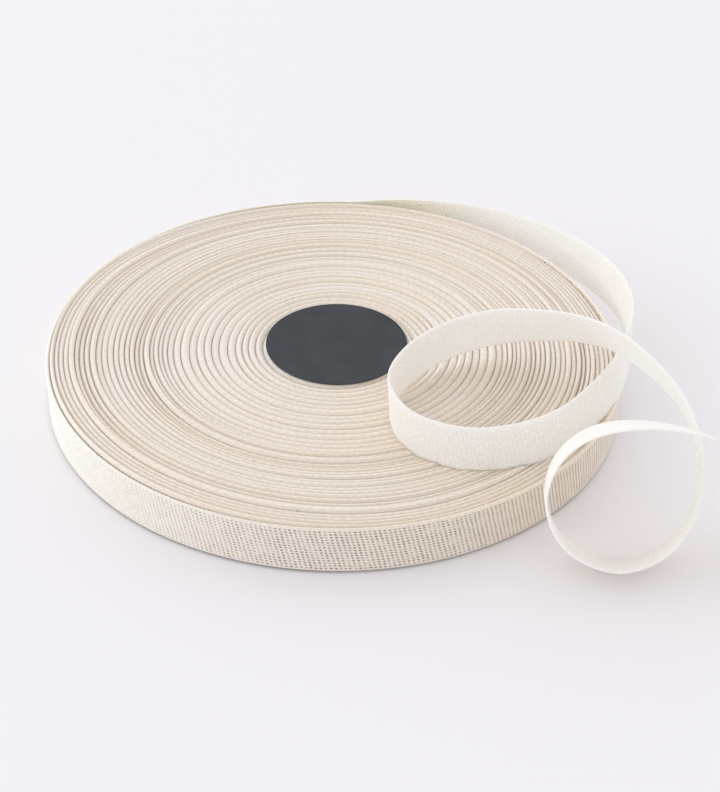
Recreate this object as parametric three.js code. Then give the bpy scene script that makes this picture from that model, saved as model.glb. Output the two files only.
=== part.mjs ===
// A roll of narrow cotton ribbon that lies flat, with a round paper label on its middle
// and a loose end that curls once on the roll and once on the table beside it.
// Millimetres, +Z up. The origin is the middle of the roll's underside.
import * as THREE from 'three';
import { mergeVertices } from 'three/addons/utils/BufferGeometryUtils.js';

// Ribbon
const RIBBON_WIDTH = 10;
const TAIL_THICKNESS = 1;
const CLEARANCE = 0.3;

// Roll: each modelled ridge stands for two turns of ribbon, wound tighter towards the outside
const ROLL_HEIGHT = RIBBON_WIDTH;
const HUB_RADIUS = 15;
const RIDGES = 17;
const INNER_PITCH = 3.05;
const OUTER_PITCH = 2.15;
const GROOVE_DEPTH = 0.5;
const STEPS_PER_TURN = 64;

// The winding runs clockwise seen from above and ends at the back, where the loose end leaves it.
// Past that end the wall is one ridge further in until the last layer has come out to full radius.
// These are shares of the last turn.
const WINDING_END_AZIMUTH = 87.6;
const WALL_STEP_START = 0.17;
const WALL_STEP_END = 0.35;
const WALL_RISE = 0.1;

// On the left the inner turns have crept up above the outermost one
const CREEP = { height: 1.2, azimuth: 165, spread: 100, innerRadius: 40, outerRadius: 55 };

// Label
const LABEL_RADIUS = 14.5;
const LABEL_THICKNESS = 1;
const LABEL_SIDES = 64;

// Loose end: the ribbon's centre line, and how far its upper edge leans from its lower edge
const TAIL_STEPS_PER_ROW = 3;
const TAIL_COLUMNS = ['x', 'y', 'z', 'leanX', 'leanY'];
const TAIL_ROWS = [
  // peeling off the back of the roll
  [3.1, 58.6, 5.1, 0.0, 0.0],
  [15.0, 58.7, 5.7, 0.1, 0.4],
  [29.5, 54.9, 6.8, 0.3, 0.5],
  [42.5, 47.0, 8.0, 0.4, 0.5],
  [52.7, 35.3, 9.7, 0.4, 0.4],
  [58.7, 21.2, 11.8, 0.2, 0.2],
  [60.5, 6.4, 14.0, 0.0, 0.0],
  // curl that stands on the roll
  [58.3, -8.0, 15.4, -0.9, 0.2],
  [53.0, -21.5, 15.4, -1.0, 0.8],
  [41.3, -36.0, 15.4, -0.5, 0.8],
  [27.0, -41.0, 15.4, 0.0, -0.2],
  [15.5, -36.5, 15.4, -0.4, -0.4],
  [10.8, -26.0, 15.4, -0.6, -0.2],
  [14.0, -15.5, 15.8, -0.4, -0.6],
  [22.0, -8.0, 17.0, -0.8, -1.5],
  [32.5, -5.2, 18.8, -2.0, -2.1],
  [43.0, -8.8, 21.8, -4.4, -2.4],
  [50.0, -15.2, 24.8, -5.0, -2.0],
  // passing over itself and falling to the table
  [55.0, -22.2, 26.5, -4.1, -2.4],
  [60.0, -28.7, 25.8, -2.6, -4.2],
  [64.7, -34.2, 22.8, -1.7, -5.8],
  [67.6, -40.0, 18.4, -1.4, -6.5],
  // curl that stands on the table
  [68.0, -46.0, 12.8, -0.6, -6.4],
  [65.0, -53.0, 7.6, 0.8, -6.8],
  [60.0, -57.0, 4.2, 1.0, -8.1],
  [53.3, -58.4, 2.7, 0.0, -9.0],
  [46.6, -57.5, 3.8, -0.5, -9.0],
  [41.6, -55.5, 7.0, -0.5, -8.9],
  [39.2, -52.6, 12.5, -0.7, -9.0],
  [40.2, -50.2, 18.5, -1.0, -9.3],
  [44.3, -49.4, 24.2, -2.2, -9.2],
  [51.0, -50.6, 28.4, -2.8, -8.7],
  // free end, coming down to the table
  [60.0, -52.0, 29.6, -0.8, -8.5],
  [69.7, -52.5, 26.5, 1.2, -8.6],
  [77.5, -53.0, 19.0, 1.0, -9.4],
  [84.0, -53.5, 9.5, 0.6, -9.8],
  [91.0, -54.0, 2.4, 0.2, -9.9],
  [100.0, -54.0, 1.2, 0.0, -9.95],
];

// Finishes
const COTTON_IN_ROLL = { color: 0xe4d9c8, roughness: 0.95 };
const COTTON_TAIL = { color: 0xf1ebe0, roughness: 0.9 };
const LABEL_SLATE = { color: 0x4b4e53, roughness: 0.7 };

const { clamp, degToRad, smoothstep } = THREE.MathUtils;

// A closed mesh from loose faces, whose shared corners are merged
class FaceList {
  constructor() {
    this.positions = [];
  }

  triangle(a, b, c) {
    if (a.equals(b) || b.equals(c) || c.equals(a)) return;
    for (const corner of [a, b, c]) this.positions.push(corner.x, corner.y, corner.z);
  }

  quad(a, b, c, d) {
    this.triangle(a, b, c);
    this.triangle(a, c, d);
  }

  geometry() {
    const geometry = new THREE.BufferGeometry();
    geometry.setAttribute('position', new THREE.Float32BufferAttribute(this.positions, 3));
    const merged = mergeVertices(geometry);
    merged.computeVertexNormals();
    return merged;
  }
}

// Radius of the groove line after so many turns; before the first turn it is the hub's circle
function grooveRadius(turns) {
  const spiral = (t) => HUB_RADIUS + INNER_PITCH * t + (OUTER_PITCH - INNER_PITCH) * t * t / (2 * RIDGES);
  const lastTurn = RIDGES - 1;
  if (turns <= lastTurn) return spiral(Math.max(turns, 0));
  const wallStep = spiral(RIDGES) - spiral(lastTurn);
  return spiral(lastTurn) + wallStep * smoothstep(turns - lastTurn, WALL_STEP_START, WALL_STEP_END);
}

function azimuthAfter(turns) {
  return WINDING_END_AZIMUTH + 360 * (RIDGES - turns);
}

function creepHeight(azimuth, radius) {
  const away = THREE.MathUtils.euclideanModulo(azimuth - CREEP.azimuth + 180, 360) - 180;
  const sideways = Math.cos(clamp(away / CREEP.spread, -1, 1) * Math.PI / 2);
  return CREEP.height * sideways * smoothstep(radius, CREEP.innerRadius, CREEP.outerRadius);
}

function polar(azimuth, radius, z) {
  const angle = degToRad(azimuth);
  return new THREE.Vector3(radius * Math.cos(angle), radius * Math.sin(angle), z);
}

// Groove line: on the last turn it becomes the top of the outer wall, level with the ribbon's width
function groovePoint(turns) {
  const radius = grooveRadius(turns);
  const onWall = smoothstep(turns, RIDGES - 1, RIDGES - 1 + WALL_RISE);
  const depth = GROOVE_DEPTH * (1 - onWall);
  const creep = creepHeight(azimuthAfter(turns), radius) * (1 - onWall);
  return polar(azimuthAfter(turns), radius, ROLL_HEIGHT - depth + creep);
}

function ridgePoint(turns) {
  if (turns <= 0) return groovePoint(0);
  const radius = (grooveRadius(turns - 1) + grooveRadius(turns)) / 2;
  return polar(azimuthAfter(turns), radius, ROLL_HEIGHT + creepHeight(azimuthAfter(turns), radius));
}

function footPoint(turns) {
  return polar(azimuthAfter(turns), grooveRadius(turns), 0);
}

// Wound roll: a flat underside, an outer wall and a spiral of ridges on top
function rollGeometry() {
  const faces = new FaceList();
  const stepCount = RIDGES * STEPS_PER_TURN;
  const atStep = (step) => step / STEPS_PER_TURN;
  // Steps before the first turn go once round the hub, back to where the spiral starts
  const groove = (step) => groovePoint(step <= 0 ? atStep(step % STEPS_PER_TURN) : atStep(step));

  const hubTop = new THREE.Vector3(0, 0, ROLL_HEIGHT);
  for (let step = 0; step < STEPS_PER_TURN; step++) {
    const innerStep = step - STEPS_PER_TURN;
    faces.triangle(hubTop, groove(innerStep + 1), groove(innerStep));
  }

  for (let step = 0; step < stepCount; step++) {
    const inner = groove(step - STEPS_PER_TURN);
    const innerNext = groove(step + 1 - STEPS_PER_TURN);
    const ridge = ridgePoint(atStep(step));
    const ridgeNext = ridgePoint(atStep(step + 1));
    faces.quad(inner, innerNext, ridgeNext, ridge);
    faces.quad(ridge, ridgeNext, groove(step + 1), groove(step));
  }

  const wallStart = stepCount - STEPS_PER_TURN;
  const hubFoot = new THREE.Vector3(0, 0, 0);
  for (let step = wallStart; step < stepCount; step++) {
    const foot = footPoint(atStep(step));
    const footNext = footPoint(atStep(step + 1));
    faces.quad(groove(step), groove(step + 1), footNext, foot);
    if (step < stepCount - 1) faces.triangle(hubFoot, foot, footNext);
  }

  const endFootInner = footPoint(atStep(wallStart));
  const endFootOuter = footPoint(atStep(stepCount));
  const lastFoot = footPoint(atStep(stepCount - 1));
  faces.triangle(hubFoot, lastFoot, endFootInner);
  faces.triangle(endFootInner, lastFoot, endFootOuter);

  const endRidge = ridgePoint(RIDGES);
  faces.quad(endFootInner, endFootOuter, groove(stepCount), endRidge);
  faces.triangle(endFootInner, endRidge, groove(wallStart));
  return faces.geometry();
}

// Loose end: a flat band swept along its centre line, its width held square to the line
function tailGeometry() {
  const rows = TAIL_ROWS.map((row) => Object.fromEntries(TAIL_COLUMNS.map((name, i) => [name, row[i]])));
  const smooth = (points) => new THREE.CatmullRomCurve3(points, false, 'catmullrom');
  const centreLine = smooth(rows.map((row) => new THREE.Vector3(row.x, row.y, row.z)));
  const leanLine = smooth(rows.map((row) => new THREE.Vector3(row.leanX, row.leanY, 0)));
  const stepCount = (rows.length - 1) * TAIL_STEPS_PER_ROW;

  const sections = [];
  for (let step = 0; step <= stepCount; step++) {
    const centre = centreLine.getPoint(step / stepCount);
    const along = centreLine.getTangent(step / stepCount);
    const across = leanLine.getPoint(step / stepCount);
    across.z = Math.sqrt(Math.max(RIBBON_WIDTH ** 2 - across.lengthSq(), 0));
    across.addScaledVector(along, -across.dot(along)).setLength(RIBBON_WIDTH / 2);
    const facing = along.clone().cross(across).setLength(TAIL_THICKNESS / 2);
    const corner = (acrossSide, facingSide) => centre.clone()
      .addScaledVector(across, acrossSide)
      .addScaledVector(facing, facingSide);
    sections.push([corner(-1, -1), corner(1, -1), corner(1, 1), corner(-1, 1)]);
  }

  const faces = new FaceList();
  const [first] = sections;
  const last = sections[stepCount];
  faces.quad(first[0], first[3], first[2], first[1]);
  faces.quad(last[0], last[1], last[2], last[3]);
  for (let step = 0; step < stepCount; step++) {
    const near = sections[step];
    const far = sections[step + 1];
    for (let side = 0; side < 4; side++) {
      const next = (side + 1) % 4;
      faces.quad(near[side], near[next], far[next], far[side]);
    }
  }
  return faces.geometry();
}

function labelGeometry() {
  const disc = new THREE.CylinderGeometry(LABEL_RADIUS, LABEL_RADIUS, LABEL_THICKNESS, LABEL_SIDES);
  return disc.rotateX(Math.PI / 2);
}

function piece(name, geometry, finish) {
  const material = new THREE.MeshStandardMaterial({ ...finish, metalness: 0 });
  const mesh = new THREE.Mesh(geometry, material);
  mesh.name = name;
  return mesh;
}

const ribbonRoll = new THREE.Group();
ribbonRoll.name = 'cotton_ribbon_roll';
ribbonRoll.add(piece('ribbon_roll', rollGeometry(), COTTON_IN_ROLL));
ribbonRoll.add(piece('ribbon_tail', tailGeometry(), COTTON_TAIL));

const label = piece('round_label', labelGeometry(), LABEL_SLATE);
label.position.z = ROLL_HEIGHT + CLEARANCE + LABEL_THICKNESS / 2;
ribbonRoll.add(label);

export default ribbonRoll;
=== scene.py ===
# %% [markdown]
# # A roll of cotton ribbon
# This lesson dresses a CAD model of a flat roll of undyed cotton ribbon.
# The CAD part gives the sizes and stays fixed, and Blender adds what the eye reads as cloth:
# the separate turns, the weave, the soft edges and the light.
# The first cell loads the CAD part as a frame, in metres, with +Z up.

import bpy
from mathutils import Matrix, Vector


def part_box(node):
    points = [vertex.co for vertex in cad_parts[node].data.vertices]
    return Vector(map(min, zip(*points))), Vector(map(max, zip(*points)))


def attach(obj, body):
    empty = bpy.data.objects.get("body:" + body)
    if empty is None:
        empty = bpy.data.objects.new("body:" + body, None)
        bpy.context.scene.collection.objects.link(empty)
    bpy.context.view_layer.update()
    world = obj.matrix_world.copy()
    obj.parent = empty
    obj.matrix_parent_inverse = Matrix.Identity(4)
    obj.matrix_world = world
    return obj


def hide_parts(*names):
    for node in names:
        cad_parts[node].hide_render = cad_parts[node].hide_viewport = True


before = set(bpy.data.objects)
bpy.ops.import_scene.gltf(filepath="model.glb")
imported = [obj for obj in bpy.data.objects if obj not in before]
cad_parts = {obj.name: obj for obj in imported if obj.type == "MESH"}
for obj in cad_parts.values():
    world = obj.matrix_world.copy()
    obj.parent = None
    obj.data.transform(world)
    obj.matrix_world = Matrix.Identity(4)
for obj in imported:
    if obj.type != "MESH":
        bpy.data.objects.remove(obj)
print("CAD nodes:", sorted(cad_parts))

# %% Measure the frame
import bisect
import itertools
import math

import bmesh
import bpy
from mathutils import Matrix, Vector, noise

MM = 0.001

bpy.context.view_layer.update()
label_low, label_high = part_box("round_label")

# %% [markdown]
# ## The wound ribbon
# On the real roll one long strip is wound about itself more than forty times, standing on its edge.
# A stack of rings would look almost the same, but a ring has no beginning and no end,
# and the slow drift of each turn outwards is what makes a roll look wound.
# So the piece starts as the flat strip that the weaver made, which also keeps the weave at one scale,
# and every point of it is then carried to its place on the spiral.
# The ribbon was wound slackly at first and then tighter, so the turns in the middle are further apart.
# The last turn ends at the back, a third of a millimetre past the start of the loose end, so no seam shows.

# %% Spacing of the turns
RIBBON_WIDTH = 10.0
TURNS = 46
SLACK_TURNS = 22
PITCH_CHANGE = 2
SLACK_PITCH = 1.54
TIGHT_PITCH = 0.93
LAST_INNER_RADIUS = 56.6
WINDING_END_AZIMUTH = 87.26


def smoothstep(value, start, end):
    share = min(max((value - start) / (end - start), 0.0), 1.0)
    return share * share * (3 - 2 * share)


def pitch(turn):
    tightness = smoothstep(turn, SLACK_TURNS - PITCH_CHANGE, SLACK_TURNS + PITCH_CHANGE)
    return SLACK_PITCH + (TIGHT_PITCH - SLACK_PITCH) * tightness


def slackness(turn):
    return (pitch(turn) - TIGHT_PITCH) / (SLACK_PITCH - TIGHT_PITCH)


def azimuth(turn):
    return WINDING_END_AZIMUTH + 360 * (TURNS - turn)


print("spacing in the middle and at the wall:", pitch(0), pitch(TURNS), "mm")

# %% [markdown]
# The winder's pull was never quite even.
# Slow noise along the ribbon gives that, and makes some turns closer than others.
# The noise depends on the place alone, so the roll is the same in every run.
# Its rate is how often it changes in a turn, and its row keeps it apart from the other noises below.
# The radii are added up step by step, because each turn lies on the one before it.

# %% Uneven spiral
STEPS_PER_TURN = 96
UNEVEN_PITCH = 0.4
PULL = {"rate": 0.6, "row": 7.3}


def drift(turn, rate, row):
    return noise.noise(Vector((turn * rate, row, 0.5)))


def value_at(place, places, values):
    step = min(max(bisect.bisect_right(places, place) - 1, 0), len(places) - 2)
    share = (place - places[step]) / (places[step + 1] - places[step])
    return values[step] + (values[step + 1] - values[step]) * share


turns = [step / STEPS_PER_TURN for step in range(TURNS * STEPS_PER_TURN + 1)]
growth = [pitch(turn) * (1 + UNEVEN_PITCH * drift(turn, **PULL)) / STEPS_PER_TURN for turn in turns[1:]]
spiral_radii = list(itertools.accumulate(growth, initial=0.0))
START_RADIUS = LAST_INNER_RADIUS - value_at(TURNS - 1, turns, spiral_radii)
print("first turn at radius", round(START_RADIUS, 2), "mm")

# %% [markdown]
# Five things then bend the spiral into this roll.
# At the front and the left the outer turns have eased outwards,
# and the last turn of all lies looser still, with a slit inside it on the right.
# That turn also hangs half a millimetre off the table, which gives the wall its thin shadow.
# On the left the inner turns have crept up above the last one, so a strip of their cloth shows,
# and everywhere some turns stand a little higher than others, less so under the label.

# %% Radius along the ribbon
WALL_RADIUS = 58.75
WALL_STEP = (TURNS - 0.83, TURNS - 0.65)
EASE = 1.5
EASE_START = 20
EASE_GROWS = (0, 110)
EASE_FADES = (220, 280)
EASED_RADII = (42, 57)


def eased(angle):
    clockwise = (EASE_START - angle) % 360
    return smoothstep(clockwise, *EASE_GROWS) * (1 - smoothstep(clockwise, *EASE_FADES))


def ribbon_radius(turn):
    radius = START_RADIUS + value_at(turn, turns, spiral_radii)
    radius += EASE * eased(azimuth(turn)) * smoothstep(radius, *EASED_RADII)
    return radius + (WALL_RADIUS - radius) * smoothstep(turn, *WALL_STEP)


print("the turns ease outwards by up to", EASE, "mm")

# %% Height along the ribbon
CREEP_HEIGHT = 1.1
CREEP_AZIMUTH = 205
CREEP_SPREAD = (30, 90)
CREPT_RADII = (40, 55)
UNEVEN_HEIGHT = 0.9
UNEVEN_RAISED = 0.2
HEIGHTS = {"rate": 1.3, "row": 4.7}
ROOM_UNDER_LABEL = 0.3
ROOM_OUTSIDE = 0.6
LABEL_EDGE = (15, 18)
WALL_LIFT = 0.5
WALL_RISES = (TURNS - 1, TURNS - 0.9)
WALL_COMES_DOWN = (TURNS - 0.2, TURNS)


def ribbon_lift(turn):
    radius = ribbon_radius(turn)
    away = abs((azimuth(turn) - CREEP_AZIMUTH + 180) % 360 - 180)
    creep = CREEP_HEIGHT * (1 - smoothstep(away, *CREEP_SPREAD)) * smoothstep(radius, *CREPT_RADII)
    room = ROOM_UNDER_LABEL + (ROOM_OUTSIDE - ROOM_UNDER_LABEL) * smoothstep(radius, *LABEL_EDGE)
    uneven = min(max(UNEVEN_HEIGHT * (UNEVEN_RAISED + drift(turn, **HEIGHTS)), 0.0), room)
    on_wall = smoothstep(turn, *WALL_RISES)
    wall_lift = WALL_LIFT * on_wall * (1 - smoothstep(turn, *WALL_COMES_DOWN))
    return (creep + uneven) * (1 - on_wall) + wall_lift


print("the wall stands", WALL_LIFT, "mm off the table")

# %% [markdown]
# The path is measured along its length before the strip is cut,
# so the strip has the real ribbon's length and the weave isn't stretched when it is wound.

# %% Length of the ribbon in the roll
def lengths_along(points):
    steps = ((after - before).length for before, after in itertools.pairwise(points))
    return list(itertools.accumulate(steps, initial=0.0))


def polar(angle, radius, height):
    angle = math.radians(angle)
    return Vector((radius * math.cos(angle), radius * math.sin(angle), height))


wound_lengths = lengths_along([polar(azimuth(turn), ribbon_radius(turn), 0.0) for turn in turns])
wound_length = wound_lengths[-1]
print("ribbon in the roll:", round(wound_length / 1000, 2), "m")

# %% [markdown]
# `create_grid` makes the flat strip and fills a UV map with its flat coordinates.
# Most turns touch their neighbour and show only a faint line between them.
# Here and there a gap opens, runs some way round the roll as a dark line and closes again,
# which noise gives too. The slack turns in the middle always stand a little apart.
# The strip gets three rows of vertices at each edge: the lip, its shoulder and the body of the cloth.
# The body swells until it meets the turns beside it, the shoulder leaves the gap and the lip is rounded,
# less so where the turns are pressed together. So the gaps are soft and shallow as on the real roll.
# A vertex group keeps how thick the cloth is at every vertex, and Solidify reads that group later.

# %% Flat strip and cloth thickness
CLOSE_GAP = 0.13
SLACK_GAP = 0.12
OPEN_GAP = 0.3
OPEN_LENGTHS = {"rate": 0.8, "row": 2.1}
OPENING = (0.1, 0.42)
EDGE_REACH = 0.56
BODY_REACH = 1.2
MEETING_SPACE = 0.03
ROUNDEST_LIP = 0.3
FLATTEST_LIP = 0.52
PRESSED_LENGTHS = {"rate": 0.45, "row": 9.4}
PRESSING = (-0.2, 0.35)
WALL_THICKNESS = 0.84
LOOSE_THICKNESS = 0.5
THICKEST = 2.0
LEAVING = (TURNS - 0.3, TURNS)


def flat_strip(length, steps, rows):
    strip = bmesh.new()
    strip.loops.layers.uv.new("flat")
    size = Matrix.Diagonal((length, RIBBON_WIDTH, 1, 1))
    bmesh.ops.create_grid(strip, x_segments=steps, y_segments=rows, size=0.5, matrix=size, calc_uvs=True)
    return strip


def object_from(shape, name):
    mesh = bpy.data.meshes.new(name)
    bmesh.ops.scale(shape, vec=(MM, MM, MM), verts=shape.verts)
    for face in shape.faces:
        face.smooth = True
    shape.to_mesh(mesh)
    shape.free()
    piece = bpy.data.objects.new(name, mesh)
    bpy.context.scene.collection.objects.link(piece)
    return piece


def edge_gap(turn):
    always = CLOSE_GAP + SLACK_GAP * slackness(turn)
    return always + OPEN_GAP * smoothstep(drift(turn, **OPEN_LENGTHS), *OPENING)


def cloth_sides(turn, gap_before, gap_after, reach):
    radius = ribbon_radius(turn)
    leaving = smoothstep(turn, *LEAVING)
    inward = reach + (LOOSE_THICKNESS / 2 - reach) * leaving
    outward = min(reach, WALL_THICKNESS / 2 + (LOOSE_THICKNESS - WALL_THICKNESS) / 2 * leaving)
    inner = (ribbon_radius(turn - 1) + radius + gap_before) / 2 if turn > 1 else radius - inward
    if turn < TURNS - 1:
        outward = (ribbon_radius(turn + 1) - radius - gap_after) / 2
    return max(inner, radius - inward), radius + min(outward, reach)


def lip_share(turn):
    pressed = smoothstep(drift(turn, **PRESSED_LENGTHS), *PRESSING) * (1 - slackness(turn))
    rounded = ROUNDEST_LIP + (FLATTEST_LIP - ROUNDEST_LIP) * pressed
    return rounded + (1 - rounded) * smoothstep(turn, *LEAVING)


open_share = sum(edge_gap(turn) > CLOSE_GAP + SLACK_GAP for turn in turns) / len(turns)
print("open gaps along", round(100 * open_share), "% of the ribbon")

# %% Wind the strip
WOUND_STEPS = 5400
LIP, SHOULDER, BODY = range(3)
EDGE_HEIGHTS = {LIP: 5.0, SHOULDER: 4.62, BODY: 4.15}
STRIP_ROWS = 5


def edge_row(height):
    return round((RIBBON_WIDTH / 2 - abs(height)) * STRIP_ROWS / RIBBON_WIDTH)


def flat_height(height):
    return math.copysign(EDGE_HEIGHTS[edge_row(height)], height)


def strip_sides(turn, row):
    if row == BODY:
        return cloth_sides(turn, MEETING_SPACE, MEETING_SPACE, BODY_REACH)
    inner, outer = cloth_sides(turn, edge_gap(turn), edge_gap(turn + 1), EDGE_REACH * pitch(turn))
    spare = (outer - inner) * (1 - lip_share(turn)) / 2 if row == LIP else 0.0
    return inner + spare, outer - spare


strip = flat_strip(wound_length, WOUND_STEPS, STRIP_ROWS)
flat_map = strip.loops.layers.uv["flat"]
loft = strip.verts.layers.deform.verify()
for loop in (loop for face in strip.faces for loop in face.loops):
    loop[flat_map].uv.y = flat_height(loop.vert.co.y) / RIBBON_WIDTH + 0.5
for vert in strip.verts:
    turn = value_at(vert.co.x + wound_length / 2, wound_lengths, turns)
    inner, outer = strip_sides(turn, edge_row(vert.co.y))
    height = flat_height(vert.co.y) + RIBBON_WIDTH / 2 + ribbon_lift(turn)
    vert[loft][0] = (outer - inner) / THICKEST
    vert.co = polar(azimuth(turn), (inner + outer) / 2, height)

wound_ribbon = object_from(strip, "wound_ribbon")
wound_ribbon.vertex_groups.new(name="loft")
print("wound strip:", len(wound_ribbon.data.polygons), "faces")

# %% [markdown]
# Solidify gives the strip its thickness on both sides of the path.
# A bevel on the four long edges then makes the soft rounded selvedge, the woven edge of a ribbon.
# The rounded edges are what shows on the top of the roll, as one ridge for each turn.

# %% Thickness and selvedge of the wound ribbon
SHARP_EDGE = math.radians(50)
WOUND_ROUNDING = 0.13


def thicken(piece, thickness, selvedge, segments):
    solidify = piece.modifiers.new("cloth_thickness", "SOLIDIFY")
    solidify.thickness = thickness * MM
    solidify.offset = 0
    bevel = piece.modifiers.new("selvedge", "BEVEL")
    bevel.limit_method = "ANGLE"
    bevel.angle_limit = SHARP_EDGE
    bevel.width = selvedge * MM
    bevel.segments = segments
    bevel.harden_normals = True
    return solidify


wound_solidify = thicken(wound_ribbon, THICKEST, WOUND_ROUNDING, 1)
wound_solidify.vertex_group = "loft"
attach(wound_ribbon, "root")
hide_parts("ribbon_roll")
print("wound ribbon:", TURNS, "turns")

# %% [markdown]
# ## The loose end
# The end of the ribbon peels off the back of the roll, curls once on the roll and once on the table,
# and runs out flat. It is limp cloth that stands on its edge only because it is curled.
# A cloth simulation would let it fall into some other shape, so the curls are given as a list:
# a few places along the middle of the ribbon, each with the lean of the ribbon's upper edge there.

# %% Places along the loose end
END_COLUMNS = ("x", "y", "z", "lean_x", "lean_y")
PEELING_OFF = [
    (2.5, 58.7, 5.0, 0.0, 0.0),
    (15.0, 58.7, 5.7, 0.1, 0.4),
    (29.5, 54.9, 6.8, 0.3, 0.5),
    (42.5, 47.0, 8.0, 0.4, 0.5),
    (52.7, 35.3, 9.7, 0.4, 0.4),
    (58.7, 21.2, 11.8, 0.2, 0.2),
    (60.5, 6.4, 14.0, 0.0, 0.0),
]
CURL_ON_ROLL = [
    (58.3, -8.0, 15.4, -0.9, 0.2),
    (53.0, -21.5, 15.4, -1.0, 0.8),
    (41.3, -36.0, 15.4, -0.5, 0.8),
    (27.0, -41.0, 15.4, 0.0, -0.2),
    (15.5, -36.5, 15.4, -0.4, -0.4),
    (10.8, -26.0, 15.4, -0.6, -0.2),
    (14.0, -15.5, 15.8, -0.4, -0.6),
    (22.0, -8.0, 17.0, -0.8, -1.5),
    (32.5, -5.2, 18.8, -2.0, -2.1),
    (43.0, -8.8, 21.8, -4.4, -2.4),
    (50.0, -15.2, 24.8, -5.0, -2.0),
]
FALLING = [
    (55.0, -22.2, 26.5, -4.1, -2.4),
    (60.0, -28.7, 25.8, -2.6, -4.2),
    (64.7, -34.2, 22.8, -1.7, -5.8),
    (67.6, -40.0, 18.4, -1.4, -6.5),
]
CURL_ON_TABLE = [
    (68.0, -46.0, 12.8, -0.6, -6.4),
    (65.0, -53.0, 7.6, 0.8, -6.8),
    (60.0, -57.0, 4.2, 1.0, -8.1),
    (53.3, -58.4, 2.7, 0.0, -9.0),
    (46.6, -57.5, 3.8, -0.5, -9.0),
    (41.6, -55.5, 7.0, -0.5, -8.9),
    (39.2, -52.6, 12.5, -0.7, -9.0),
    (40.2, -50.2, 18.5, -1.0, -9.3),
    (44.3, -49.4, 24.2, -2.2, -9.2),
    (51.0, -50.6, 28.4, -2.8, -8.7),
]
RUNNING_OUT = [
    (60.0, -52.0, 29.6, -0.8, -8.5),
    (69.7, -52.5, 26.5, 1.2, -8.6),
    (77.5, -53.0, 19.0, 1.0, -9.4),
    (84.0, -53.5, 9.5, 0.6, -9.8),
    (91.0, -54.0, 2.4, 0.2, -9.9),
    (100.0, -54.0, 1.2, 0.0, -9.95),
]
end_rows = [
    dict(zip(END_COLUMNS, row))
    for row in PEELING_OFF + CURL_ON_ROLL + FALLING + CURL_ON_TABLE + RUNNING_OUT
]
print("the loose end is laid through", len(end_rows), "places")

# %% [markdown]
# A Catmull-Rom curve runs through every place with no handles to set.
# The same curve carries the lean, so the ribbon twists smoothly from one place to the next.

# %% Curve through the places
SAMPLES_PER_ROW = 24


def between(values, position):
    place = min(int(position), len(values) - 2)
    share = position - place
    start, end = values[place], values[place + 1]
    before = values[place - 1] if place > 0 else start * 2 - end
    after = values[place + 2] if place + 2 < len(values) else end * 2 - start
    slope_in = (end - before) / 2
    slope_out = (after - start) / 2
    square, cube = share * share, share * share * share
    return (
        start * (2 * cube - 3 * square + 1) + slope_in * (cube - 2 * square + share)
        + end * (3 * square - 2 * cube) + slope_out * (cube - square))


end_middles = [Vector((row["x"], row["y"], row["z"])) for row in end_rows]
end_leans = [Vector((row["lean_x"], row["lean_y"], 0)) for row in end_rows]
positions = [step / SAMPLES_PER_ROW for step in range((len(end_rows) - 1) * SAMPLES_PER_ROW + 1)]
end_lengths = lengths_along([between(end_middles, position) for position in positions])
end_length = end_lengths[-1]
print("loose end:", round(end_length, 1), "mm long")

# %% [markdown]
# The strip is as fine as the threads, because its edges are seen against the pale table:
# each weft thread turns back at the edge in a tiny loop, and the loops make the selvedge slightly toothed.
# A slow ripple across the cloth keeps the curls from looking like bent metal.

# %% Lay the loose end
END_STEPS = 1600
END_ROWS = 8
WEFT_SPACING = 0.9
TOOTH = 0.06
TOOTHED_SHARE = (0.9, 1.0)
RIPPLE = 0.12
RIPPLE_LENGTH = 14.0
RIPPLE_ACROSS = 0.6
RIPPLE_ROW = 2.4
HELD_LENGTH = 30.0
LOOSE_ROUNDING = 0.2
TANGENT_STEP = 0.02


def end_frame(position):
    middle = between(end_middles, position)
    ahead = between(end_middles, min(position + TANGENT_STEP, len(end_middles) - 1))
    behind = between(end_middles, max(position - TANGENT_STEP, 0.0))
    along = (ahead - behind).normalized()
    up = between(end_leans, position)
    up.z = math.sqrt(max(RIBBON_WIDTH ** 2 - up.length_squared, 0.0))
    up = (up - along * up.dot(along)).normalized()
    return middle, up, along.cross(up)


end_strip = flat_strip(end_length, END_STEPS, END_ROWS)
for vert in end_strip.verts:
    distance = vert.co.x + end_length / 2
    middle, up, facing = end_frame(value_at(distance, end_lengths, positions))
    share = 2 * vert.co.y / RIBBON_WIDTH
    at_edge = smoothstep(abs(share), *TOOTHED_SHARE)
    tooth = TOOTH * math.sin(2 * math.pi * distance / WEFT_SPACING) * at_edge
    ripple = noise.noise(Vector((distance / RIPPLE_LENGTH, share * RIPPLE_ACROSS, RIPPLE_ROW)))
    freed = smoothstep(distance, 0.0, HELD_LENGTH)
    vert.co = middle + up * (vert.co.y + math.copysign(tooth, share)) + facing * (RIPPLE * ripple * freed)

loose_ribbon_end = object_from(end_strip, "loose_ribbon_end")
thicken(loose_ribbon_end, LOOSE_THICKNESS, LOOSE_ROUNDING, 2)
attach(loose_ribbon_end, "root")
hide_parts("ribbon_tail")
print("loose end:", len(loose_ribbon_end.data.polygons), "faces")

# %% [markdown]
# ## The label
# A round slate-coloured paper label lies on the middle of the roll and hides its first turns. It is bare.
# A short row of points is spun about the axis, which gives rings of faces,
# and the rings let the paper curl up a hair towards its edge as real paper does.

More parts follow.
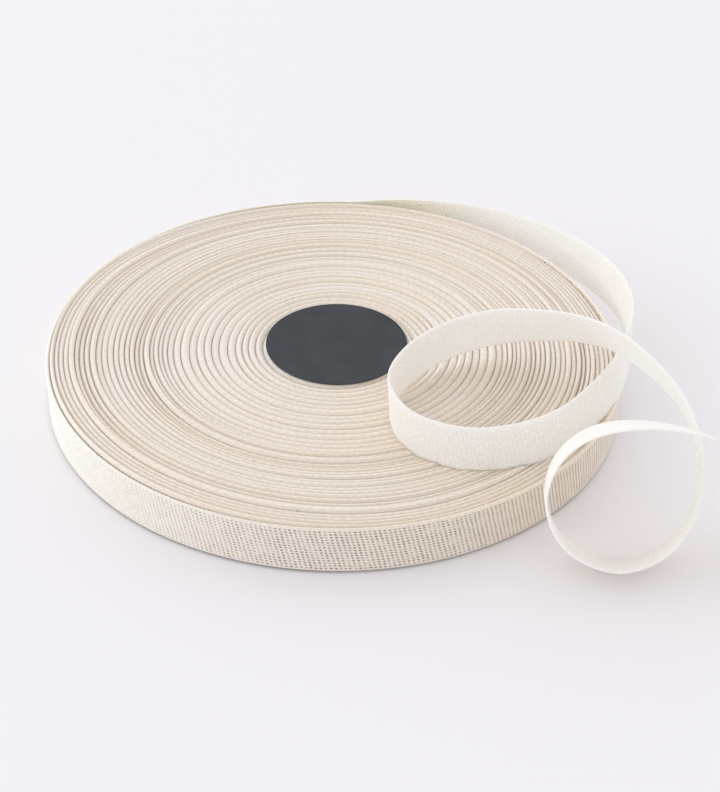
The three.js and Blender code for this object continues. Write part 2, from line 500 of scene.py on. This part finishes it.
# %% Spin the label
PAPER_THICKNESS = 0.3
PAPER_ROUNDING = 0.06
PAPER_CURL = 0.16
CURL_DIRECTION = Vector((0.8, 0.6, 0.0))
PAPER_RINGS = (0, 0.25, 0.5, 0.75, 0.92, 1)
LABEL_STEPS = 128
LABEL_SEAT = 0.05
label_radius = (label_high[0] - label_low[0]) / 2 / MM
label_bottom = label_low[2] / MM + LABEL_SEAT

paper = bmesh.new()
spoke = [paper.verts.new((label_radius * share, 0, label_bottom)) for share in PAPER_RINGS]
spoke_edges = [paper.edges.new(pair) for pair in itertools.pairwise(spoke)]
bmesh.ops.spin(
    paper, geom=spoke + spoke_edges, cent=(0, 0, 0), axis=(0, 0, 1),
    angle=2 * math.pi, steps=LABEL_STEPS, use_merge=True)
bmesh.ops.remove_doubles(paper, verts=paper.verts, dist=0.001)
bmesh.ops.recalc_face_normals(paper, faces=paper.faces)
for vert in paper.verts:
    tilted = vert.co.dot(CURL_DIRECTION) / label_radius
    vert.co.z += PAPER_CURL * tilted * tilted

paper_label = object_from(paper, "paper_label")
thicken(paper_label, PAPER_THICKNESS, PAPER_ROUNDING, 2).offset = 1
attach(paper_label, "root")
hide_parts("round_label")
print("label:", round(2 * label_radius, 1), "mm across")

# %% [markdown]
# ## Finishes
# Colours are given as sRGB hex values, as a colour picker shows them, but a shader works in linear light.
# One function turns the first into the second.
# One small function adds a node, links the sockets it is given and sets the rest.
# A Mix node has several sockets of one name, so those of its colours go by number.

# %% Colour and node helpers
MIX_SHARE, MIX_FIRST, MIX_SECOND = 0, 6, 7
MIXED = 2


def linear(hex_colour):
    def channel(start):
        share = int(hex_colour[start:start + 2], 16) / 255
        return share / 12.92 if share <= 0.04045 else ((share + 0.055) / 1.055) ** 2.4
    return (channel(1), channel(3), channel(5), 1.0)


def add_node(material, kind, links=None, **settings):
    node = material.node_tree.nodes.new(kind)
    for name, value in settings.items():
        setattr(node, name, value)
    for socket, source in (links or {}).items():
        if isinstance(source, bpy.types.NodeSocket):
            material.node_tree.links.new(source, node.inputs[socket])
        else:
            node.inputs[socket].default_value = source
    return node


def empty_material(name):
    material = bpy.data.materials.new(name)
    material.use_nodes = True
    material.node_tree.nodes.clear()
    return material


print("mid grey in linear light:", round(linear("#808080")[0], 3))

# %% [markdown]
# ### Undyed cotton in a plain weave
# The ribbon is a loose plain weave of undyed cotton yarn:
# matt, warm white, with small holes between the threads.
# An image of cloth would repeat, so the threads are drawn by nodes on the flat UV map.
# The map is scaled to millimetres first, so the threads have their real spacing everywhere,
# and it runs on from the roll to the loose end, because they are one ribbon.
# Noise then pushes the threads about, because no thread in a loose weave runs quite straight.
# The weft, the threads across the ribbon, leans by about 14 degrees, so it gets a turned copy of the map.

# %% Flat coordinates with wandering threads
WANDER = 0.4
WANDER_LENGTH = 2.5
WEFT_SLANT = math.radians(13.6)


def flat_millimetres(material, start, length):
    flat = add_node(material, "ShaderNodeUVMap", uv_map="flat")
    place = add_node(material, "ShaderNodeMapping", {
        "Vector": flat.outputs["UV"], "Location": (start, -RIBBON_WIDTH / 2, 0),
        "Scale": (length, RIBBON_WIDTH, 1)})
    return place.outputs["Vector"]


def wandering(material, flat):
    push = add_node(material, "ShaderNodeTexNoise", {
        "Vector": flat, "Scale": 1 / WANDER_LENGTH, "Detail": 2.0})
    pushed = add_node(material, "ShaderNodeVectorMath", {
        0: push.outputs["Color"], 1: (WANDER, WANDER, 0), 2: flat}, operation="MULTIPLY_ADD")
    slanted = add_node(material, "ShaderNodeMapping", {
        "Vector": pushed.outputs["Vector"], "Rotation": (0, 0, WEFT_SLANT)})
    return {"warp": pushed.outputs["Vector"], "weft": slanted.outputs["Vector"]}


print("threads wander by", WANDER / 2, "mm either way")

# %% [markdown]
# A wave along the ribbon is one set of threads and a wave across it is the other.
# Where both waves are high there is no thread, so their product is a grid of holes.
# The selvedge is woven closer, so the holes stop short of it,
# and noise makes some holes wide and others almost closed. A hole's dark colour is painted shade: the shade
# behind the cloth seen through it.

# %% Holes of the weave
WARP_SPACING = 0.62
WAVE_UNIT = 2 * math.pi / 20
WEFT_GAP = {"From Min": 0.28, "From Max": 0.9, "To Min": 0.06}
WARP_GAP = {"From Min": 0.25, "From Max": 0.8}
SELVEDGE = 0.95
SELVEDGE_FADE = 0.1
HOLE_VARIETY = 2.0
HOLE_SPREAD = {"From Min": 0.36, "From Max": 0.62, "To Min": 0.4}


def thread_waves(material, threads, spacings, phase):
    weft = add_node(material, "ShaderNodeTexWave", {
        "Vector": threads["weft"], "Scale": WAVE_UNIT / (spacings * WEFT_SPACING * math.cos(WEFT_SLANT)),
        "Phase Offset": phase}, bands_direction="X")
    warp = add_node(material, "ShaderNodeTexWave", {
        "Vector": threads["warp"], "Scale": WAVE_UNIT / (spacings * WARP_SPACING),
        "Phase Offset": phase}, bands_direction="Y")
    return weft.outputs["Fac"], warp.outputs["Fac"]


def weave_openness(material, flat, threads, selvedge):
    weft, warp = thread_waves(material, threads, 1, 0.0)
    weft_gaps = add_node(
        material, "ShaderNodeMapRange", {"Value": weft, **WEFT_GAP}, interpolation_type="SMOOTHSTEP")
    warp_gaps = add_node(
        material, "ShaderNodeMapRange", {"Value": warp, **WARP_GAP}, interpolation_type="SMOOTHSTEP")
    both = add_node(material, "ShaderNodeMath", {
        0: weft_gaps.outputs[0], 1: warp_gaps.outputs[0]}, operation="MULTIPLY")
    across = add_node(material, "ShaderNodeSeparateXYZ", {0: flat})
    from_middle = add_node(material, "ShaderNodeMath", {0: across.outputs["Y"]}, operation="ABSOLUTE")
    from_edge = add_node(material, "ShaderNodeMath", {
        0: RIBBON_WIDTH / 2, 1: from_middle.outputs[0]}, operation="SUBTRACT")
    selvedges = add_node(material, "ShaderNodeMath", {
        0: from_edge.outputs[0], 1: selvedge}, operation="DIVIDE")
    body = add_node(material, "ShaderNodeMapRange", {
        "Value": selvedges.outputs[0], "From Min": 1 - SELVEDGE_FADE})
    open_weave = add_node(material, "ShaderNodeMath", {
        0: both.outputs[0], 1: body.outputs[0]}, operation="MULTIPLY")
    return open_weave.outputs[0]


# Painted shade: how much of the shade seen through each hole is painted into the colour.
def painted_hole_shade_share(material, flat, openness, depth):
    variety = add_node(material, "ShaderNodeTexNoise", {
        "Vector": flat, "Scale": 1 / HOLE_VARIETY, "Detail": 3.0, "Roughness": 0.6})
    shown = add_node(material, "ShaderNodeMapRange", {"Value": variety.outputs["Fac"], **HOLE_SPREAD})
    varied = add_node(material, "ShaderNodeMath", {
        0: openness, 1: shown.outputs[0]}, operation="MULTIPLY")
    share = add_node(material, "ShaderNodeMath", {0: varied.outputs[0], 1: depth}, operation="MULTIPLY")
    return share.outputs[0]


print("holes every", WEFT_SPACING, "by", WARP_SPACING, "mm")

# %% [markdown]
# Where one thread passes over another it lies higher and catches more light.
# Two waves of twice the spacing give that, as a checker of raised and sunken threads, both in the relief
# and as a painted highlight in the colour.
# The yarn itself is uneven: fine noise gives its fibres, slow noise along the ribbon gives paler
# and darker lengths, and a few specks of seed husk are left in undyed cotton.

# %% Tone of the yarn
YARN_WIDTH = 0.45
CROSSING = 0.18
TONE_LENGTH = 160.0
TONE_SPREAD = {"From Min": 0.35, "From Max": 0.65}
FIBRE_SPREAD = {"From Min": 0.3, "From Max": 0.7, "To Min": 0.93, "To Max": 1.05}
HUSK_SPACING = 0.8
HUSK_SPREAD = {"From Min": 0.85, "From Max": 0.89, "To Max": 0.35}
HUSK_COLOUR = "#9b8768"


def crossings(material, threads):
    weft, warp = thread_waves(material, threads, 2, -math.pi / 4)
    weft_side = add_node(material, "ShaderNodeMath", {0: weft, 1: 2.0, 2: -1.0}, operation="MULTIPLY_ADD")
    warp_side = add_node(material, "ShaderNodeMath", {
        0: warp, 1: CROSSING, 2: -CROSSING / 2}, operation="MULTIPLY_ADD")
    raised = add_node(material, "ShaderNodeMath", {
        0: weft_side.outputs[0], 1: warp_side.outputs[0]}, operation="MULTIPLY")
    return raised.outputs[0]


def noise_in_space(material, size, detail):
    place = add_node(material, "ShaderNodeTexCoord")
    cloud = add_node(material, "ShaderNodeTexNoise", {
        "Vector": place.outputs["Object"], "Scale": 1 / (size * MM), "Detail": detail, "Roughness": 0.65})
    return cloud.outputs["Fac"]


def yarn_colour(material, flat, yarn, pale, warm):
    lengths = add_node(material, "ShaderNodeTexNoise", {
        "Vector": flat, "Scale": 1 / TONE_LENGTH, "Detail": 5.0})
    warmth = add_node(material, "ShaderNodeMapRange", {"Value": lengths.outputs["Fac"], **TONE_SPREAD})
    tone = add_node(material, "ShaderNodeMix", {
        MIX_SHARE: warmth.outputs[0], MIX_FIRST: linear(pale), MIX_SECOND: linear(warm)}, data_type="RGBA")
    # Real fibre noise plus the crossings' checker, which lightens the raised threads: a painted highlight.
    fibres = add_node(material, "ShaderNodeMapRange", {"Value": yarn, **FIBRE_SPREAD})
    cloth = add_node(material, "ShaderNodeMix", {
        MIX_SHARE: 1.0, MIX_FIRST: tone.outputs[MIXED], MIX_SECOND: fibres.outputs[0]},
        data_type="RGBA", blend_type="MULTIPLY")
    specks = add_node(material, "ShaderNodeMapRange", {
        "Value": noise_in_space(material, HUSK_SPACING, 0.0), **HUSK_SPREAD})
    specked = add_node(material, "ShaderNodeMix", {
        MIX_SHARE: specks.outputs[0], MIX_FIRST: cloth.outputs[MIXED], MIX_SECOND: linear(HUSK_COLOUR)},
        data_type="RGBA")
    return specked.outputs[MIXED]


print("husk specks at most every", HUSK_SPACING, "mm")

# %% [markdown]
# Cotton is matt, and light wanders inside it before it comes out again, which subsurface scattering gives.
# In the roll the cloth lies on more cloth: light goes only a fraction of a millimetre,
# its colour is painted a little darker as painted shade, and its holes are painted as dark specks of shade.
# In the loose end light goes right through, and the cloth glows where it is lit from behind; its colour is
# painted paler as painted light.
# So there are two looks, a shaded wound one and a lit loose one, and both use the same threads.

# %% Cotton looks
THREAD_RELIEF = 0.08
RELIEF_STRENGTH = 0.7
COTTON_ROUGHNESS = 0.92
BACKED_SCATTERING = 0.22
FREE_SCATTERING = 3.0
# Both looks are the same cotton. The wound look's colours are painted a little darker as painted shade, the
# loose look's are painted paler as painted light, and each hole colour is painted shade.
WOUND_SHADED_LOOK = {"pale": "#f2ebe2", "warm": "#f3e8da", "painted_hole_shade": "#755f40", "painted_hole_shade_depth": 1.0}
LOOSE_LIT_LOOK = {"pale": "#fcf6eb", "warm": "#fbf2e3", "painted_hole_shade": "#cfc3b0", "painted_hole_shade_depth": 0.45}


def woven(material, flat, selvedge):
    threads = wandering(material, flat)
    yarn = add_node(material, "ShaderNodeMath", {
        0: noise_in_space(material, YARN_WIDTH, 4.0), 1: crossings(material, threads)})
    openness = weave_openness(material, flat, threads, selvedge)
    return {"flat": flat, "yarn": yarn.outputs[0], "openness": openness}


def cloth_colour(material, weave, look):
    # The holes are painted with the shade seen through them.
    holes = painted_hole_shade_share(material, weave["flat"], weave["openness"], look["painted_hole_shade_depth"])
    threads = yarn_colour(material, weave["flat"], weave["yarn"], look["pale"], look["warm"])
    colour = add_node(material, "ShaderNodeMix", {
        MIX_SHARE: holes, MIX_FIRST: threads, MIX_SECOND: linear(look["painted_hole_shade"])}, data_type="RGBA")
    return colour.outputs[MIXED]


def finish_cotton(material, weave, colour, scattering):
    height = add_node(material, "ShaderNodeMath", {
        0: weave["yarn"], 1: weave["openness"]}, operation="SUBTRACT")
    relief = add_node(material, "ShaderNodeBump", {
        "Height": height.outputs[0], "Strength": RELIEF_STRENGTH, "Distance": THREAD_RELIEF * MM})
    surface = add_node(material, "ShaderNodeBsdfPrincipled", {
        "Base Color": colour, "Normal": relief.outputs["Normal"], "Roughness": COTTON_ROUGHNESS,
        "Specular IOR Level": 0.0, "Subsurface Weight": 1.0, "Subsurface Radius": (1.0, 1.0, 1.0),
        "Subsurface Scale": scattering})
    add_node(material, "ShaderNodeOutputMaterial", {"Surface": surface.outputs[0]})


def share_along(material, flat, start, end):
    along = add_node(material, "ShaderNodeSeparateXYZ", {0: flat})
    share = add_node(material, "ShaderNodeMapRange", {
        "Value": along.outputs["X"], "From Min": start, "From Max": end}, interpolation_type="SMOOTHSTEP")
    return share.outputs[0]


print("light wanders", BACKED_SCATTERING, "mm in the roll and", FREE_SCATTERING, "mm in the loose end")

# %% [markdown]
# In the roll the edges of the cloth are pressed together, and no holes show in the gaps between them.
# On the last turn, which is the wall of the roll, the holes run almost to the edge.
# From the front round to the left, and fully on the left and at the back where the soft light falls on it,
# it is painted paler: painted light, as its colour passes from the shaded wound look to the lit loose one.

# %% Cotton of the wound ribbon
WALL_SELVEDGE = 0.45
WALL_FROM = 30.0
WALL_TO = 60.0
# Where along the last turn the painted light begins and where it is full.
PAINTED_LIGHT_FROM = 190.0
PAINTED_LIGHT_TO = 118.0

wall_start = value_at(TURNS - 1, turns, wound_lengths)
wound_cotton = empty_material("undyed_cotton_plain_weave_wound")
wound_flat = flat_millimetres(wound_cotton, 0.0, wound_length)
wound_selvedge = add_node(wound_cotton, "ShaderNodeMath", {
    0: share_along(wound_cotton, wound_flat, wall_start + WALL_FROM, wall_start + WALL_TO),
    1: WALL_SELVEDGE - SELVEDGE, 2: SELVEDGE}, operation="MULTIPLY_ADD")
wound_weave = woven(wound_cotton, wound_flat, wound_selvedge.outputs[0])
# Painted light: towards its end the last turn takes the paler loose look.
wound_colour = add_node(wound_cotton, "ShaderNodeMix", {
    MIX_SHARE: share_along(wound_cotton, wound_flat, wound_length - PAINTED_LIGHT_FROM, wound_length - PAINTED_LIGHT_TO),
    MIX_FIRST: cloth_colour(wound_cotton, wound_weave, WOUND_SHADED_LOOK),
    MIX_SECOND: cloth_colour(wound_cotton, wound_weave, LOOSE_LIT_LOOK)}, data_type="RGBA")
finish_cotton(wound_cotton, wound_weave, wound_colour.outputs[MIXED], BACKED_SCATTERING * MM)
wound_ribbon.data.materials.append(wound_cotton)
print("cotton:", wound_cotton.name)

# %% [markdown]
# The loose end has the loose look, but it lets light through only where it stands clear
# of the roll and the table.
# The front of its curl on the roll has shaded turns behind it, so its holes are painted dark there with
# painted shade.
# Further on there is only the pale table behind, and the painted shade in the holes fades.

# %% Cotton of the loose end
PALE_BEHIND_FROM = 165.0
PALE_BEHIND_TO = 215.0
FADED_HOLE_SHADE = 0.2
FREED_BY = 60.0
COMING_DOWN = 90.0
LYING = 8.0

ribbon_length = wound_length + end_length
pale_from, pale_to = wound_length + PALE_BEHIND_FROM, wound_length + PALE_BEHIND_TO
loose_cotton = empty_material("undyed_cotton_plain_weave_loose")
loose_flat = flat_millimetres(loose_cotton, wound_length, end_length)
loose_weave = woven(loose_cotton, loose_flat, SELVEDGE)
clear = add_node(loose_cotton, "ShaderNodeMath", {
    0: share_along(loose_cotton, loose_flat, wound_length, wound_length + FREED_BY),
    1: share_along(loose_cotton, loose_flat, ribbon_length - COMING_DOWN, ribbon_length - LYING)},
    operation="SUBTRACT")
loose_scattering = add_node(loose_cotton, "ShaderNodeMath", {
    0: clear.outputs[0], 1: (FREE_SCATTERING - BACKED_SCATTERING) * MM, 2: BACKED_SCATTERING * MM},
    operation="MULTIPLY_ADD")
# Painted shade in the holes along the loose end: full while shaded turns are behind, faded where the pale
# table is behind.
holes = add_node(loose_cotton, "ShaderNodeMath", {
    0: share_along(loose_cotton, loose_flat, pale_from, pale_to),
    1: FADED_HOLE_SHADE - LOOSE_LIT_LOOK["painted_hole_shade_depth"], 2: LOOSE_LIT_LOOK["painted_hole_shade_depth"]}, operation="MULTIPLY_ADD")
loose_colour = cloth_colour(loose_cotton, loose_weave, {**LOOSE_LIT_LOOK, "painted_hole_shade_depth": holes.outputs[0]})
finish_cotton(loose_cotton, loose_weave, loose_colour, loose_scattering.outputs[0])
loose_ribbon_end.data.materials.append(loose_cotton)
print("cotton:", loose_cotton.name)

# %% [markdown]
# ### Slate paper
# The label is uncoated paper dyed dark slate: matt, with faint fibres and cloudy pulp.
# Fine noise in the colour and a very shallow bump are enough to tell it from plastic.

# %% Paper material
PAPER_FIBRE = 0.5
PULP_CLOUD = 6.0
GRAIN_SPREAD = {"From Min": 0.7, "From Max": 1.3}
SLATE = {"dark": "#3b3e42", "pale": "#45494e"}
PAPER_RELIEF = 0.04

slate_paper = empty_material("uncoated_slate_paper")
paper_place = add_node(slate_paper, "ShaderNodeTexCoord")
fibres = add_node(slate_paper, "ShaderNodeTexNoise", {
    "Vector": paper_place.outputs["Object"], "Scale": 1 / (PAPER_FIBRE * MM),
    "Detail": 6.0, "Roughness": 0.7})
pulp = add_node(slate_paper, "ShaderNodeTexNoise", {
    "Vector": paper_place.outputs["Object"], "Scale": 1 / (PULP_CLOUD * MM), "Detail": 3.0})
grain = add_node(slate_paper, "ShaderNodeMath", {
    0: fibres.outputs["Fac"], 1: pulp.outputs["Fac"]}, operation="ADD")
paper_share = add_node(slate_paper, "ShaderNodeMapRange", {"Value": grain.outputs[0], **GRAIN_SPREAD})
paper_colour = add_node(slate_paper, "ShaderNodeMix", {
    MIX_SHARE: paper_share.outputs[0], MIX_FIRST: linear(SLATE["dark"]), MIX_SECOND: linear(SLATE["pale"])},
    data_type="RGBA")
paper_relief = add_node(slate_paper, "ShaderNodeBump", {
    "Height": fibres.outputs["Fac"], "Strength": 0.25, "Distance": PAPER_RELIEF * MM})
paper_surface = add_node(slate_paper, "ShaderNodeBsdfPrincipled", {
    "Base Color": paper_colour.outputs[MIXED], "Normal": paper_relief.outputs["Normal"], "Roughness": 0.8,
    "Specular IOR Level": 0.3})
add_node(slate_paper, "ShaderNodeOutputMaterial", {"Surface": paper_surface.outputs[0]})
paper_label.data.materials.append(slate_paper)
print("paper:", slate_paper.name)

# %% [markdown]
# ## Studio
# The roll lies on a pale matt table that fills the picture.
# Most of the light is a white surround, a little brighter behind and on the left and dimmer overhead.
# One large soft light on the left models the turns.

# %% Table
FLOOR_SIZE = 4.0
TABLE_GAP = 0.05

table = bmesh.new()
bmesh.ops.create_grid(table, x_segments=1, y_segments=1, size=FLOOR_SIZE / 2 / MM)
floor = object_from(table, "pale_table")
floor.location.z = -TABLE_GAP * MM
white_table = empty_material("matt_white_table")
table_surface = add_node(white_table, "ShaderNodeBsdfPrincipled", {
    "Base Color": linear("#f7f6f8"), "Roughness": 0.9, "Specular IOR Level": 0.1})
add_node(white_table, "ShaderNodeOutputMaterial", {"Surface": table_surface.outputs[0]})
floor.data.materials.append(white_table)
print("table:", FLOOR_SIZE, "m")

# %% Light
SURROUND_STRENGTH = 1.12
SURROUND_SLOPE = (-0.1, 0.18, -0.25)
SOFT_LIGHT_PLACE = Vector((-1.5, -0.15, 0.35))
SOFT_LIGHT_WATTS = 4.2
SOFT_LIGHT_SIZE = 1.2

surround = bpy.data.worlds.new("white_surround")
surround.use_nodes = True
surround.node_tree.nodes.clear()
towards = add_node(surround, "ShaderNodeTexCoord")
slope = add_node(surround, "ShaderNodeVectorMath", {
    0: towards.outputs["Generated"], 1: SURROUND_SLOPE}, operation="DOT_PRODUCT")
strength = add_node(surround, "ShaderNodeMath", {0: slope.outputs["Value"], 1: SURROUND_STRENGTH})
glow = add_node(surround, "ShaderNodeBackground", {
    "Color": linear("#fdfcff"), "Strength": strength.outputs[0]})
add_node(surround, "ShaderNodeOutputWorld", {"Surface": glow.outputs[0]})
bpy.context.scene.world = surround
bpy.context.scene.view_settings.view_transform = "Standard"

soft = bpy.data.lights.new("soft_light", "AREA")
soft.shape = "DISK"
soft.size = SOFT_LIGHT_SIZE
soft.energy = SOFT_LIGHT_WATTS
soft_light = bpy.data.objects.new("soft_light", soft)
soft_light.location = SOFT_LIGHT_PLACE
soft_light.rotation_euler = (-SOFT_LIGHT_PLACE).to_track_quat("-Z", "Y").to_euler()
bpy.context.scene.collection.objects.link(soft_light)
print("soft light:", SOFT_LIGHT_WATTS, "W")

# %% [markdown]
# The camera looks down on the roll from the front with a short telephoto lens, tipped by about a degree.

# %% Camera
LOOKED_AT = Vector((5.0, -10.6, 5.0)) * MM
CAMERA_DISTANCE = 378 * MM
CAMERA_ELEVATION = 36.1
CAMERA_ROLL = 1.04
LENS = 84.9

tilt = Matrix.Rotation(math.radians(90 - CAMERA_ELEVATION), 4, "X")
roll = Matrix.Rotation(math.radians(CAMERA_ROLL), 4, "Z")
lens = bpy.data.cameras.new("camera")
lens.lens = LENS
lens.clip_start = 0.01
camera = bpy.data.objects.new("camera", lens)
step_back = Matrix.Translation((0, 0, CAMERA_DISTANCE))
camera.matrix_world = Matrix.Translation(LOOKED_AT) @ tilt @ roll @ step_back
bpy.context.scene.collection.objects.link(camera)
bpy.context.scene.camera = camera
print("camera at", [round(value, 3) for value in camera.matrix_world.translation])
